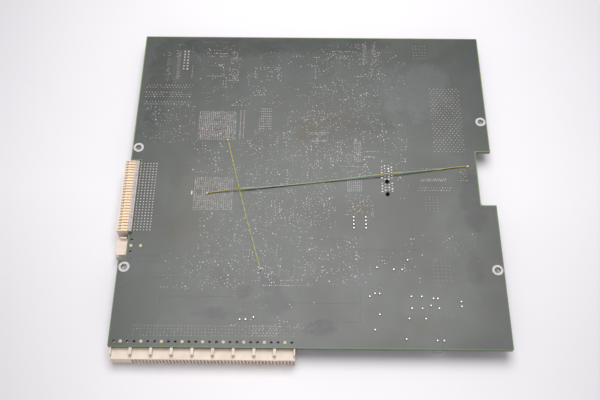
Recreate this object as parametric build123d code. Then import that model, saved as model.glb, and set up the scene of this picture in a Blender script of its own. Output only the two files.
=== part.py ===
from build123d import *
import math
import os

# A telecom plug-in filter board that lies with its solder side up, on the connectors and the taller
# parts of its component side. Lengths are in millimetres. Everything is laid out from the board's
# front left corner, with Z from the surface that it lies on; save() moves it into the part's frame,
# whose origin is the middle of the whole outline, on that surface.

# ---- Board ----
board_width = 236.4
board_depth = 229.1
board_thickness = 2.4
stand_height = 9.6
board_corner = 0.8
under = stand_height
top = stand_height + board_thickness

# notch in the right edge, open to the right
right_notch_depth = 9.9
right_notch_start = 94.8
right_notch_length = 39.7
right_notch_corner = 1.5

# ---- Mounting eyelets ----
mount_inset = 4.1
left_mount_rows = (50.2, 135.7)
right_mount_rows = (50.2, 158.0)
mount_bore_radius = 2.0
eyelet_wall = 0.3
barrel_sides = 16
eyelet_land_radius = 3.4
eyelet_land_thickness = 0.15
eyelet_land_sides = 24

# ---- Two-millimetre right-angle connectors ----
module = 12.0
contact_pitch = 2.0
module_columns = int(module / contact_pitch)
front_to_peg = 9.7
edge_overhang = 6.4
rib_half_width = 0.85
rib_gap = 0.1
rib_drop = 0.5
rib_front_length = 2.3
rib_front_recess = 0.6
panel_drop = 0.5
housing_gap = 0.06
housing_deep = 12.4
housing_back_low = 5.6
housing_back_flat = 2.0
housing_foot = 3.0
slot_width = 1.2
slot_height = 7.0
slot_depth = 1.2
slot_bottom = 1.1
peg_radius = 1.0
peg_clearance = 0.1
round_sides = 10
peg_proud = 0.25
cavity_offset = 4.0
cavity_radius = 0.8
power_pin = 0.6
power_pin_drop = 1.4

# front row: one power module, then two four-module housings
front_start = 1.35
module_count = 4

# side power module, in the left notch
side_module_middle = 64.4
side_peg_step = 6.0
side_notch_depth = 4.3
side_notch_start = 55.2

# ---- Signal connector in the left notch ----
signal_overhang = 2.9
signal_start = 73.25
signal_columns = 25
signal_end_wall = 0.35
signal_length = signal_columns * contact_pitch + 2 * signal_end_wall
signal_rise = 2.8
signal_notch_depth = 6.7
signal_notch_margin = 0.6
signal_notch_far_gap = 2.0
signal_tail_depth = 7.5
signal_tail_rows = 6
signal_tail_offset = 0.5
signal_tail_size = 0.6
signal_tail_proud = 0.5
stiffener_width = 2.6
stiffener_clear = 0.2
stiffener_thickness = 0.4
stiffener_slot_front = 5.0
stiffener_slot_width = 0.6
stiffener_slot_length = 0.9
rib_width = 0.8
finger_groove_depth = 1.0
finger_groove_front = 1.0
finger_width = 0.9
finger_thickness = 0.3
finger_front = 1.9
finger_bump = 0.35
finger_crest = 0.9
mating_wall = 1.9
mating_slot = 0.9
wafer_thickness = 1.6
wafer_gap = 0.1
wafer_back = 1.3
wafer_slope = 5.0
hood_wall = 0.8

# ---- Stacking header: four staggered rows of pins and two pegs ----
stack_x = 167.4
stack_y = 103.9
stack_pitch = 2.0
stack_pins_long = 10
stack_outer_half = 3.25
stack_inner_half = 1.2
stack_peg_radius = 1.25
stack_peg_proud = 0.7
stack_peg_rows = (-1.8, 7.4)
stack_pin = 0.5
stack_body_width = 9.6
stack_end_margin = 3.6
stack_body_height = 6.0
stack_slot_depth = 3.0
stack_slot_half = 0.5
stack_slot_margin = 2.0

# ---- Dual in-line package and pin header ----
inline_pitch = 2.54
package_middle = (149.0, 81.6)
package_row_gap = 7.62
package_leads = 4
package_width = 6.4
package_length = 9.8
package_height = 3.6
package_standoff = 0.5
package_draft = 7
lead_width = 0.9
lead_thickness = 0.4
header_middle_x = 30.1
header_from_rear = 21.3
header_rows = 7
header_pin = 0.64
header_wall = 2.2
header_height = 8.6

pin_proud = 0.8
header_floor = 1.6
header_inside = 1.5

# ---- Solder joints ----
joint_radius = 0.95
joint_height = 0.7
joint_facets = 8
joint_taper = 35

# ---- Surface-mounted packages ----
draft = 4
carrier_height = 1.1
cap_height = 1.2
cap_inset = 3.0
foot_length = 0.9
foot_width = 0.4
foot_height = 0.2
array_size = 27.0
array_middles = ((54.8, 154.6), (55.5, 101.9))
small_array_size = 13.0
small_array_middle = (146.5, 108.7)
thin_height = 1.5
first_lead_margin = 1.2
flat_pack_from_rear = 34.3
side_leaded_from_rear = 69.5
driver_from_rear = 50.4


class Outline:
    """Moulded package: middle, size on X and Y, lead pitch, and which way its rows of leads run."""

    def __init__(self, middle, width, length, pitch, on_x=True, on_y=False):
        self.middle = middle
        self.width = width
        self.length = length
        self.pitch = pitch
        self.on_x = on_x
        self.on_y = on_y


moulded_packages = (
    Outline((89.1, board_depth - flat_pack_from_rear), 20.0, 14.0, 2.0, on_y=True),
    Outline((87.5, board_depth - side_leaded_from_rear), 11.0, 18.0, 2.54, on_x=False, on_y=True),
    Outline((157.0, 132.1), 8.7, 3.9, 1.27),
    Outline((123.4, 144.3), 12.5, 4.4, 1.27),
    Outline((13.0, board_depth - driver_from_rear), 14.0, 4.4, 2.0),
    Outline((28.5, board_depth - driver_from_rear), 14.0, 4.4, 2.0),
)
capacitor_size = (2.0, 1.25, 1.0)
capacitor_columns = (42.0, 48.0, 54.0, 60.0, 66.0)
capacitor_rows = (137.0, 120.5, 84.5)
resistor_size = (3.2, 1.6, 0.6)
resistor_column = 74.0
resistor_rows = (143.0, 147.0, 151.0, 155.0, 159.0, 163.0)

# ---- Power and filter parts, placed from the front right corner: to the left, to the rear ----
part_clearance = 0.4
film_margin = 3.0
film_width = 4.0
film_leads = (
    ((59.8, 18.6), (49.9, 18.6)),
    ((77.2, 21.0), (80.2, 11.5)),
    ((77.8, 51.1), (67.6, 49.9)),
    ((62.5, 49.9), (58.8, 56.2)),
)
can_leads = (
    ((44.1, 5.3), (40.2, 5.3)),
    ((28.2, 29.4), (28.2, 26.4)),
)
can_radius = 4.0
can_sides = 24
can_bead = 0.4
can_bead_height = 1.8
disc_leads = (
    ((44.7, 31.3), (42.1, 31.3)),
    ((46.4, 26.8), (41.6, 25.1)),
)
disc_radius = 3.1
disc_sides = 16
disc_thickness = 2.4
disc_taper = 30
reference_leads = ((82.8, 32.3), (79.6, 34.2), (76.8, 34.1))
reference_radius = 2.4
reference_flat = 1.4
reference_height = 4.6
choke_from_right = 54.75
choke_from_front = 28.75
choke_lead_x = 6.2
choke_lead_y = 7.5
choke_base = 14.0
choke_base_height = 1.4
core_inner = 3.2
core_outer = 6.3
core_sides = 24
winding_wall = 0.9
winding_gap = 3.0
post_spots = ((62.1, 6.0), (152.0, 18.6))
post_size = 0.64
post_length = 6.0
bead_leads = ((160.1, 17.2), (156.6, 17.2))
bead_width = 2.5
bead_height = 5.0
transistor_from_rear = 12.3
transistor_places = ((42.0, board_depth - transistor_from_rear), (41.0, 95.0), (38.3, 48.9))
tab_width = 10.2
tab_length = 9.0
tab_thickness = 1.3
transistor_length = 8.6
transistor_height = 4.4

# ---- Shield can, from the right and rear edges ----
shield_from_right = 15.4
shield_from_rear = 41.7
shield_width = 22.5
shield_length = 54.8
shield_sheet = 0.4
shield_vent_width = 6.0
shield_vent_length = 2.0
shield_vents = (2, 5)
shield_corner = 1.0

# ---- Repair wires ----
wire_diameter = 1.0
wire_sides = 6
wire_lift = 0.06
arc_share = 0.45
wire_joint_size = 1.6
wire_joint_height = 1.05
wire_joint_chamfer = 0.35

middle_x = (board_width - signal_overhang) / 2
middle_y = (board_depth - edge_overhang) / 2


def save(name, shape):
    """Write one named piece, moved from the board's corner to the part's own origin."""
    export_step(Pos(-middle_x, -middle_y, 0) * shape, f"parts/{name}.step")


def block(xs, ys, zs):
    """Box that fills three (low, high) spans."""
    size = (xs[1] - xs[0], ys[1] - ys[0], zs[1] - zs[0])
    return Pos(xs[0], ys[0], zs[0]) * Box(*size, align=(Align.MIN, Align.MIN, Align.MIN))


def post(x, y, radius, low, high):
    """Upright cylinder between two heights."""
    return Pos(x, y, low) * Cylinder(radius, high - low, align=(Align.CENTER, Align.CENTER, Align.MIN))


def peg(x, y, radius, low, high):
    """Upright moulded peg between two heights, with as many sides as the hole it fills."""
    return Pos(x, y, low) * extrude(RegularPolygon(radius, round_sides), high - low)


def square_post(x, y, size, low, high):
    """Upright square pin between two heights."""
    half = size / 2
    return block((x - half, x + half), (y - half, y + half), (low, high))


def group(solids):
    """Separate solids that share one node."""
    return Compound(children=list(solids))


# ---- Where things are ----

def front_module_middles():
    """Middle of each front module along the front edge."""
    count = 1 + 2 * module_count
    return [front_start + module * (index + 0.5) for index in range(count)]


def front_peg_spots():
    """Pegs of the front connectors, one at the middle of each module."""
    return [(x, front_to_peg - edge_overhang) for x in front_module_middles()]


def side_peg_spots():
    """The two pegs of the side power module, one behind the other."""
    first = front_to_peg - signal_overhang
    return [(first, side_module_middle), (first + side_peg_step, side_module_middle)]


def front_cavity_spots():
    """Contact holes on both sides of each front peg."""
    return [(x + side * cavity_offset, y) for x, y in front_peg_spots() for side in (-1, 1)]


def side_cavity_spots():
    """Contact holes on both sides of the side module's first peg."""
    x, y = side_peg_spots()[0]
    return [(x, y + side * cavity_offset) for side in (-1, 1)]


def signal_finger_rows():
    """Middle of each shield finger along the signal connector."""
    first = signal_start + signal_end_wall + contact_pitch / 2
    return [first + contact_pitch * index for index in range(signal_columns)]


def signal_tail_spots():
    """Contact tails of the signal connector: one wafer a row, six tails to a wafer."""
    depths = [signal_tail_depth + contact_pitch * index for index in range(signal_tail_rows)]
    return [(x, y + signal_tail_offset) for y in signal_finger_rows() for x in depths]


def mount_spots():
    """The four mounting holes, two beside each side edge."""
    left = [(mount_inset, row) for row in left_mount_rows]
    return left + [(board_width - mount_inset, row) for row in right_mount_rows]


def stack_peg_spots():
    """The two black pegs of the stacking header, in the middle of its width."""
    return [(stack_x, stack_y + row) for row in stack_peg_rows]


def stack_pin_spots():
    """Pins of the stacking header: outer and inner rows half a pitch apart, open at the peg."""
    peg_y = stack_y + stack_peg_rows[1]
    spots = []
    for half, shift in ((stack_outer_half, 0), (stack_inner_half, stack_pitch / 2)):
        for index in range(stack_pins_long):
            y = stack_y + shift + stack_pitch * index
            if abs(y - peg_y) > stack_peg_radius:
                spots += [(stack_x - half, y), (stack_x + half, y)]
    return spots


def package_lead_spots():
    """Leads of the dual in-line package."""
    x, y = package_middle
    first = y - inline_pitch * (package_leads - 1) / 2
    rows = [first + inline_pitch * index for index in range(package_leads)]
    return [(x + side * package_row_gap / 2, row) for side in (-1, 1) for row in rows]


def header_pin_spots():
    """Pins of the two-row header near the rear left corner."""
    middle = board_depth - header_from_rear
    first = middle - inline_pitch * (header_rows - 1) / 2
    rows = [first + inline_pitch * index for index in range(header_rows)]
    return [(header_middle_x + side * inline_pitch / 2, row) for side in (-1, 1) for row in rows]


def peg_hole_spots():
    """Beige pegs of the two-millimetre connectors that come up through the board."""
    return front_peg_spots() + side_peg_spots()


# ---- Board ----

def notch(xs, ys):
    """Rectangle to cut from the board's outline."""
    return Pos((xs[0] + xs[1]) / 2, (ys[0] + ys[1]) / 2) * Rectangle(xs[1] - xs[0], ys[1] - ys[0])


def barrel_outline():
    """Outside of an eyelet's barrel, which fills its hole in the board."""
    return RegularPolygon(mount_bore_radius + eyelet_wall, barrel_sides)


def drilled(spots, radius):
    """Small holes to cut at each place, with as many sides as a peg."""
    return [Pos(x, y) * RegularPolygon(radius, round_sides) for x, y in spots]


def circuit_board():
    """Laminate with its two notches and every hole that something passes through or shows in."""
    outline = RectangleRounded(board_width, board_depth, board_corner)
    outline = Pos(board_width / 2, board_depth / 2) * outline
    right_rows = (right_notch_start, right_notch_start + right_notch_length)
    right_span = (board_width - right_notch_depth, board_width + right_notch_depth)
    right_cut = notch(right_span, right_rows)
    outline -= fillet(right_cut.vertices(), right_notch_corner)
    signal_notch_end = signal_start + signal_length + signal_notch_far_gap
    notch_rows = (signal_start - signal_notch_margin, signal_notch_end)
    outline -= notch((-signal_notch_depth, signal_notch_depth), notch_rows)
    outline -= notch((-side_notch_depth, side_notch_depth), (side_notch_start, notch_rows[0]))
    holes = [Pos(x, y) * barrel_outline() for x, y in mount_spots()]
    holes += drilled(peg_hole_spots(), peg_radius + peg_clearance)
    holes += drilled(front_cavity_spots() + side_cavity_spots(), cavity_radius)
    holes += drilled(stack_peg_spots(), stack_peg_radius + peg_clearance)
    return Pos(0, 0, under) * extrude(outline - holes, board_thickness)


def eyelet(x, y):
    """Plated mounting hole: a round bore in a barrel, with a land on the solder side."""
    barrel = extrude(Pos(x, y, under) * barrel_outline(), board_thickness)
    land = RegularPolygon(eyelet_land_radius, eyelet_land_sides)
    land = extrude(Pos(x, y, top) * land, eyelet_land_thickness)
    return barrel + land - post(x, y, mount_bore_radius, under, top + eyelet_land_thickness)


# ---- Two-millimetre right-angle connectors ----

def connector_section():
    """Side view of a right-angle housing: overhanging front, flat foot, sloped back under its tails."""
    panel = under - panel_drop
    seat = under
    edge = edge_overhang + housing_gap
    slope_end = edge_overhang + housing_deep
    back = slope_end + housing_back_flat
    return Polyline(
        (0, 0), (front_to_peg + housing_foot, 0), (slope_end, housing_back_low),
        (back, housing_back_low), (back, seat), (edge, seat), (edge, panel), (0, panel), close=True,
    )


def module_row(modules, has_slots):
    """Right-angle housing of some modules along X, front face at Y = 0, first module from X = 0."""
    length = modules * module
    ends = (rib_gap / 2, length - rib_gap / 2)
    section = make_face(Plane.YZ * connector_section())
    housing = Pos(ends[0], 0, 0) * extrude(section, ends[1] - ends[0])
    panel = under - panel_drop
    ribs = []
    cuts = []
    for index in range(modules + 1):
        middle = index * module
        span = (max(middle - rib_half_width, ends[0]), min(middle + rib_half_width, ends[1]))
        depth = (rib_front_length, edge_overhang - housing_gap)
        ribs.append(block(span, depth, (panel, top - rib_drop)))
        cuts.append(block(span, (0, rib_front_length), (panel - rib_front_recess, panel)))
    if has_slots:
        for index in range(modules * module_columns):
            x = contact_pitch * (index + 0.5)
            span = (x - slot_width / 2, x + slot_width / 2)
            cuts.append(block(span, (0, slot_depth), (slot_bottom, slot_bottom + slot_height)))
    return housing + ribs - cuts


def pegs(spots):
    """Locating pegs that rise from a housing through the board."""
    return [peg(x, y, peg_radius, under - panel_drop, top + peg_proud) for x, y in spots]


def front_housing(first_module, modules, has_slots):
    """One housing of the front row with its pegs."""
    place = Pos(front_start + module * first_module, -edge_overhang, 0)
    spots = front_peg_spots()[first_module:first_module + modules]
    return place * module_row(modules, has_slots) + pegs(spots)


def side_power_housing():
    """The same one-module housing, facing left in the side notch, with a second peg."""
    place = Pos(-signal_overhang, side_module_middle + module / 2, 0) * Rot(0, 0, -90)
    return place * module_row(1, False) + pegs(side_peg_spots())


def power_contacts(spots):
    """Contact pins that show a little below the board's face in the holes beside a peg."""
    return group(square_post(x, y, power_pin, under, top - power_pin_drop) for x, y in spots)


# ---- Signal connector ----

signal_front = -signal_overhang
signal_rows = (signal_start, signal_start + signal_length)
signal_top = top + signal_rise
stiffener_back = signal_notch_depth - stiffener_clear
stiffener_front = stiffener_back - stiffener_width
groove_floor = signal_top - finger_groove_depth


def row_span(y, width):
    """Span of some width about a row."""
    return (y - width / 2, y + width / 2)


def signal_housing():
    """Hood of the signal connector: grooved roof, slotted mating face and an open back."""
    hood = block((signal_front, stiffener_front), signal_rows, (0, signal_top))
    rows = (signal_rows[0] + signal_end_wall, signal_rows[1] - signal_end_wall)
    cavity_front = signal_front + mating_wall
    groove_front = signal_front + finger_groove_front
    slot_heights = (2 * hood_wall, groove_floor - 2 * hood_wall)
    cuts = [block((cavity_front, stiffener_front), rows, (hood_wall, groove_floor - hood_wall))]
    for y in signal_finger_rows():
        groove = row_span(y, contact_pitch - rib_width)
        cuts.append(block((groove_front, stiffener_front), groove, (groove_floor, signal_top)))
        slot = row_span(y, mating_slot)
        cuts.append(block((signal_front, cavity_front), slot, slot_heights))
    return hood - cuts


def wafer(y):
    """One insulating wafer: nose in the hood, shoulder in the notch, body under the board."""
    nose = signal_front + mating_wall + wafer_gap
    shoulder = stiffener_back - stiffener_thickness
    back = signal_tail_depth + contact_pitch * (signal_tail_rows - 1) + wafer_back
    roof = groove_floor - hood_wall - wafer_gap
    high = signal_top - stiffener_thickness
    floor = hood_wall + wafer_gap
    outline = Polyline(
        (nose, floor), (back - wafer_slope, floor), (back, under - wafer_back), (back, under),
        (shoulder, under), (shoulder, high), (stiffener_front, high), (stiffener_front, roof),
        (nose, roof), close=True,
    )
    return Pos(0, y, 0) * extrude(make_face(Plane.XZ * outline), wafer_thickness / 2, both=True)


def stiffener():
    """Folded metal strip over the wafers, with a slot above each and its back flange in the notch."""
    sheet = (signal_top - stiffener_thickness, signal_top)
    roof = block((stiffener_front, stiffener_back), signal_rows, sheet)
    flange_span = (stiffener_back - stiffener_thickness, stiffener_back)
    flange = block(flange_span, signal_rows, (under, signal_top))
    depth = (stiffener_slot_front, stiffener_slot_front + stiffener_slot_length)
    slots = [block(depth, row_span(y, stiffener_slot_width), sheet) for y in signal_finger_rows()]
    return roof + flange - slots


def shield_finger(y):
    """Ground finger in its groove: a strip that arches up near its tip."""
    front = signal_front + finger_front
    crest = front + finger_crest
    low = groove_floor
    outline = Polyline(
        (front, low), (stiffener_front, low), (stiffener_front, low + finger_thickness),
        (crest + finger_crest, low + finger_thickness), (crest, low + finger_thickness + finger_bump),
        (front, low + finger_thickness), close=True,
    )
    strip = extrude(make_face(Plane.XZ * outline), finger_width / 2, both=True)
    return Pos(0, y, 0) * strip


def signal_tails():
    """Ends of the press-fit tails, whose shanks fill their plated holes in the board."""
    spots = signal_tail_spots()
    return group(square_post(x, y, signal_tail_size, top, top + signal_tail_proud) for x, y in spots)


# ---- Stacking header, dual in-line package and pin header ----

def stacking_header():
    """Header body under the board with its two pegs and a mating slot between the pin rows."""
    length = stack_pitch * (stack_pins_long - 0.5)
    rows = (stack_y - stack_end_margin, stack_y + length + stack_end_margin)
    low = under - stack_body_height
    width = (stack_x - stack_body_width / 2, stack_x + stack_body_width / 2)
    body = block(width, rows, (low, under))
    slot = (stack_x - stack_slot_half, stack_x + stack_slot_half)
    inner_rows = (rows[0] + stack_slot_margin, rows[1] - stack_slot_margin)
    body -= block(slot, inner_rows, (low, low + stack_slot_depth))
    heights = (under - stack_peg_proud, top + stack_peg_proud)
    return body + [peg(x, y, stack_peg_radius, *heights) for x, y in stack_peg_spots()]


def joint_pins(spots, size):
    """Square pin ends that stand proud of the solder side."""
    return group(square_post(x, y, size, top, top + pin_proud) for x, y in spots)


def inline_package():
    """Moulded body of the eight-lead package, drafted on both faces, with its end notch."""
    x, y = package_middle
    low = under - package_standoff - package_height
    waist = low + package_height / 2
    section = Pos(x, y, waist) * Rectangle(package_width, package_length)
    lower = extrude(section, -package_height / 2, taper=package_draft)
    upper = extrude(section, package_height / 2, taper=package_draft)
    index_notch = post(x, y + package_length / 2, inline_pitch / 3, low, low + package_height / 4)
    return lower + upper - index_notch


def inline_leads():
    """Leads that leave the waist of the package, turn up and stop at the board."""
    waist = under - package_standoff - package_height / 2
    leads = []
    for x, y in package_lead_spots():
        side = 1 if x > package_middle[0] else -1
        inner = package_middle[0] + side * package_width / 2
        across = sorted((inner, x + side * lead_thickness / 2))
        leg = row_span(x, lead_thickness)
        shelf = block(across, row_span(y, lead_width), row_span(waist, lead_thickness))
        leads.append(shelf + block(leg, row_span(y, lead_width), (waist - lead_thickness / 2, under)))
    return group(leads)


def header_shroud():
    """Open-topped wall round the header's pins, hanging under the board."""
    middle = board_depth - header_from_rear
    length = inline_pitch * (header_rows - 1)
    width = row_span(header_middle_x, inline_pitch + 2 * header_wall)
    rows = row_span(middle, length + 2 * header_wall)
    low = under - header_height
    shroud = block(width, rows, (low, under))
    inner_width = row_span(header_middle_x, inline_pitch + 2 * header_inside)
    inner_rows = row_span(middle, length + 2 * header_inside)
    return shroud - block(inner_width, inner_rows, (low, under - header_floor))


def header_pins():
    """Square pins from the open side of the shroud to the board."""
    low = under - header_height + part_clearance
    high = under - header_floor
    return group(square_post(x, y, header_pin, low, high) for x, y in header_pin_spots())


# ---- Surface-mounted packages on the component side ----

def package_body(x, y, width, length, height):
    """Flat package against the board's underside, with a slight draft."""
    return extrude(Pos(x, y, under) * Rectangle(width, length), -height, taper=draft)


def array_package(x, y, size):
    """Area-array package: carrier against the board, moulded cap on it."""
    carrier = package_body(x, y, size, size, carrier_height)
    cap = package_body(x, y, size - cap_inset, size - cap_inset, cap_height)
    return carrier, Pos(0, 0, -carrier_height) * cap


def lead_row(edge, pitch):
    """Places of the leads along one edge of a package, from its middle and clear of its corners."""
    count = 1 + int((edge - 2 * first_lead_margin) / pitch)
    return [pitch * (index - (count - 1) / 2) for index in range(count)]


def gull_leads(package):
    """Feet on the board beside a package, in equal rows along its opposite edges."""
    x, y = package.middle
    heights = (under - foot_height, under)
    feet = []
    for side in (-1, 1):
        if package.on_x:
            beyond = row_span(y + side * (package.length + foot_length) / 2, foot_length)
            for step in lead_row(package.width, package.pitch):
                feet.append(block(row_span(x + step, foot_width), beyond, heights))
        if package.on_y:
            beside = row_span(x + side * (package.width + foot_length) / 2, foot_length)
            for step in lead_row(package.length, package.pitch):
                feet.append(block(beside, row_span(y + step, foot_width), heights))
    return feet


def chips(spots, size):
    """Small two-ended chips, each a block against the board."""
    length, width, height = size
    heights = (under - height, under)
    return group(block(row_span(x, length), row_span(y, width), heights) for x, y in spots)


# ---- Power and filter parts on the component side ----

def from_right(place):
    """Board place of a point given from the front right corner."""
    return (board_width - place[0], place[1])


def pair_frame(leads):
    """Middle, distance and direction of a pair of leads."""
    (x0, y0), (x1, y1) = [from_right(lead) for lead in leads]
    distance = math.hypot(x1 - x0, y1 - y0)
    angle = math.degrees(math.atan2(y1 - y0, x1 - x0))
    return Pos((x0 + x1) / 2, (y0 + y1) / 2, 0) * Rot(0, 0, angle), distance


def film_capacitor(leads):
    """Box-shaped film capacitor over its two leads, nearly as tall as the board stands."""
    frame, distance = pair_frame(leads)
    height = stand_height - part_clearance
    body = Box(distance + film_margin, film_width, height)
    body = chamfer(body.edges().filter_by(Axis.Z), film_width / 8)
    return frame * (Pos(0, 0, under - height / 2) * body)


def electrolytic_capacitor(leads):
    """Round can, rolled in near its seal, standing down from the board."""
    frame, _ = pair_frame(leads)
    outline = RegularPolygon(can_radius, can_sides)
    bead = under - can_bead_height
    wall_length = bead - can_bead - part_clearance
    wall = Pos(0, 0, part_clearance) * extrude(outline, wall_length)
    taper = extrude(outline, can_bead, taper=45)
    rolled = Pos(0, 0, bead - can_bead) * taper + Pos(0, 0, bead + can_bead) * mirror(taper, Plane.XY)
    rim = Pos(0, 0, bead + can_bead) * extrude(outline, can_bead_height - can_bead)
    return frame * (wall + rolled + rim)


def disc_capacitor(leads):
    """Dipped disc on edge between its leads, thinner towards its rim."""
    frame, _ = pair_frame(leads)
    face = Plane.XZ * RegularPolygon(disc_radius, disc_sides)
    half = extrude(face, disc_thickness / 2, taper=disc_taper)
    return frame * (Pos(0, 0, under - disc_radius) * (half + mirror(half, Plane.XZ)))


def voltage_reference():
    """Three-lead moulded part: a round body with one flat side."""
    x = sum(board_width - lead[0] for lead in reference_leads) / len(reference_leads)
    y = sum(lead[1] for lead in reference_leads) / len(reference_leads)
    body = post(x, y, reference_radius, under - reference_height, under)
    heights = (under - reference_height, under)
    flat = block(row_span(x, 2 * reference_radius), (y - reference_radius, y - reference_flat), heights)
    return body - flat


def filter_bead():
    """Ferrite bead lying along its two leads against the board."""
    frame, distance = pair_frame(bead_leads)
    bead = Box(distance - post_size, bead_width, bead_height)
    bead = chamfer(bead.edges().filter_by(Axis.X), bead_width / 4)
    return frame * (Pos(0, 0, under - bead_height / 2) * bead)


def test_posts():
    """Square posts that hang under the board from two single joints."""
    places = [from_right(place) for place in post_spots]
    return group(square_post(x, y, post_size, under - post_length, under) for x, y in places)


def choke_middle():
    """Middle of the common-mode choke."""
    return from_right((choke_from_right, choke_from_front))


def choke_lead_spots():
    """The four leads of the choke."""
    x, y = choke_middle()
    return [(x + i * choke_lead_x / 2, y + j * choke_lead_y / 2) for i in (-1, 1) for j in (-1, 1)]


def choke_ring(wall, low, high):
    """The ring core, or the space that it takes with windings of some wall round it."""
    outer = RegularPolygon(core_outer + wall, core_sides)
    inner = RegularPolygon(core_inner - wall, core_sides)
    return Pos(*choke_middle(), low) * extrude(outer - inner, high - low)


def choke_core():
    """Ring core, upright axis, held by its windings."""
    return choke_ring(0, winding_wall, under - choke_base_height - winding_wall)


def choke_windings():
    """Two windings on opposite sides of the core, each one layer thick all round it."""
    x, y = choke_middle()
    high = under - choke_base_height
    length = 2 * (core_outer + winding_wall)
    gap = block(row_span(x, winding_gap), row_span(y, length), (0, high))
    return choke_ring(winding_wall, 0, high) - choke_core() - gap


def choke_carrier():
    """Plastic base between the choke and the board."""
    x, y = choke_middle()
    base = block(row_span(x, choke_base), row_span(y, choke_base), (under - choke_base_height, under))
    return chamfer(base.edges().filter_by(Axis.Z), choke_base / 10)


def power_transistor(place):
    """Moulded body of a power transistor, in front of its tab."""
    x, y = from_right(place)
    body = Pos(0, -tab_length / 2) * package_body(x, y, tab_width, transistor_length, transistor_height)
    recess = (y - tab_length, y + tab_length)
    return body - block(row_span(x, tab_width), recess, (under - tab_thickness, under))


def transistor_tab(place):
    """Copper tab against the board, half under the moulded body."""
    x, y = from_right(place)
    reach = (y - tab_length, y + tab_length / 2)
    tab = block(row_span(x, tab_width), reach, (under - tab_thickness, under))
    return chamfer(tab.edges().filter_by(Axis.Z), tab_thickness / 2)


def shield_can():
    """Drawn sheet-metal can soldered open side to the board, with vents in its floor."""
    xs = (board_width - shield_from_right - shield_width, board_width - shield_from_right)
    ys = (board_depth - shield_from_rear - shield_length, board_depth - shield_from_rear)
    can = block(xs, ys, (0, under))
    can = chamfer(can.edges().filter_by(Axis.Z), shield_corner)
    can = offset(can, -shield_sheet, openings=can.faces().sort_by(Axis.Z)[-1])
    vents = []
    for column in range(shield_vents[0]):
        for row in range(shield_vents[1]):
            x = row_span(xs[0] + shield_width * (column + 0.5) / shield_vents[0], shield_vent_width)
            y = row_span(ys[0] + shield_length * (row + 0.5) / shield_vents[1], shield_vent_length)
            vents.append(block(x, y, (0, shield_sheet)))
    return can - vents


def solder_joint(x, y):
    """Faceted cone of solder up a lead's end on the solder side."""
    foot = Pos(x, y, top) * RegularPolygon(joint_radius, joint_facets)
    return extrude(foot, joint_height, taper=joint_taper)


def power_joint_spots():
    """Every lead of the power and filter parts that is soldered through the board."""
    places = [lead for pair in (*film_leads, *can_leads, *disc_leads) for lead in pair]
    places += [*reference_leads, *post_spots, *bead_leads]
    return [from_right(place) for place in places] + choke_lead_spots()


# ---- Repair wires on the solder side ----

lying = top + wire_lift + wire_diameter / 2

# each route runs end to end; its third number is the wire's height above where it lies on the board
long_route = (
    (52.3, 101.6, 0), (60.0, 102.9, 0), (72.1, 104.4, 1.5), (95.6, 107.3, 0.5), (130.0, 111.6, 0.8),
    (168.0, 116.8, 1.7), (198.0, 120.3, 0.6), (212.0, 122.3, 0), (219.6, 122.9, 0),
)
short_route = (
    (63.0, 141.1, 0), (65.6, 131.4, 0), (69.5, 115.3, 0.1), (75.5, 91.6, 0), (80.6, 73.5, 0.1),
    (84.6, 58.6, 0), (87.2, 50.3, 0),
)


def wire_points(route):
    """Route with true heights."""
    return [(x, y, lying + rise) for x, y, rise in route]


def wire(name, route):
    """Twisted pair as one tube: straight runs joined by the largest arcs that fit."""
    points = [Vector(*point) for point in wire_points(route)]
    radii = []
    for before, corner, after in zip(points, points[1:], points[2:]):
        turn = math.radians((corner - before).get_angle(after - corner))
        shorter = min((corner - before).length, (after - corner).length)
        radii.append(arc_share * shorter / math.tan(turn / 2))
    path = FilletPolyline(*points, radius=radii)
    start = Plane(origin=points[0], z_dir=points[1] - points[0])
    section = start * RegularPolygon(wire_diameter / 2, wire_sides)
    tube = sweep(section, path=path)
    share = tube.volume / (section.area * path.length)
    print(name, "radii", [round(radius) for radius in radii], "volume", share)
    return tube


def wire_joint(end, neighbour):
    """Solder that the end of a wire runs into: its flat side faces the wire."""
    outward = math.degrees(math.atan2(end[1] - neighbour[1], end[0] - neighbour[0]))
    width = row_span(0, wire_joint_size)
    blob = block((0, wire_joint_size), width, (0, wire_joint_height))
    blob = chamfer(blob.edges().group_by(Axis.Z)[-1], wire_joint_chamfer)
    return Pos(end[0], end[1], top) * Rot(0, 0, outward) * blob


def wire_joints():
    """The four soldered ends."""
    joints = []
    for route in (long_route, short_route):
        joints.append(wire_joint(route[0], route[1]))
        joints.append(wire_joint(route[-1], route[-2]))
    return group(joints)


# ---- Build ----

os.makedirs("parts", exist_ok=True)

save("circuit_board", circuit_board())
save("mounting_eyelets", group(eyelet(x, y) for x, y in mount_spots()))

save("signal_housing", signal_housing())
save("signal_wafers", group(wafer(y) for y in signal_finger_rows()))
save("signal_stiffener", stiffener())
save("signal_shield_fingers", group(shield_finger(y) for y in signal_finger_rows()))
save("signal_tails", signal_tails())
save("side_power_housing", side_power_housing())
save("side_power_contacts", power_contacts(side_cavity_spots()))

save("front_power_housing", front_housing(0, 1, False))
save("front_power_contacts", power_contacts(front_cavity_spots()[:2]))
save("front_housing_left", front_housing(1, module_count, True))
save("front_housing_right", front_housing(1 + module_count, module_count, True))

save("stacking_header", stacking_header())
save("stacking_pins", joint_pins(stack_pin_spots(), stack_pin))
save("inline_package", inline_package())
save("inline_leads", inline_leads())
save("inline_joints", group(solder_joint(x, y) for x, y in package_lead_spots()))
save("header_shroud", header_shroud())
save("header_pins", header_pins())
save("header_pin_ends", joint_pins(header_pin_spots(), header_pin))

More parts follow.
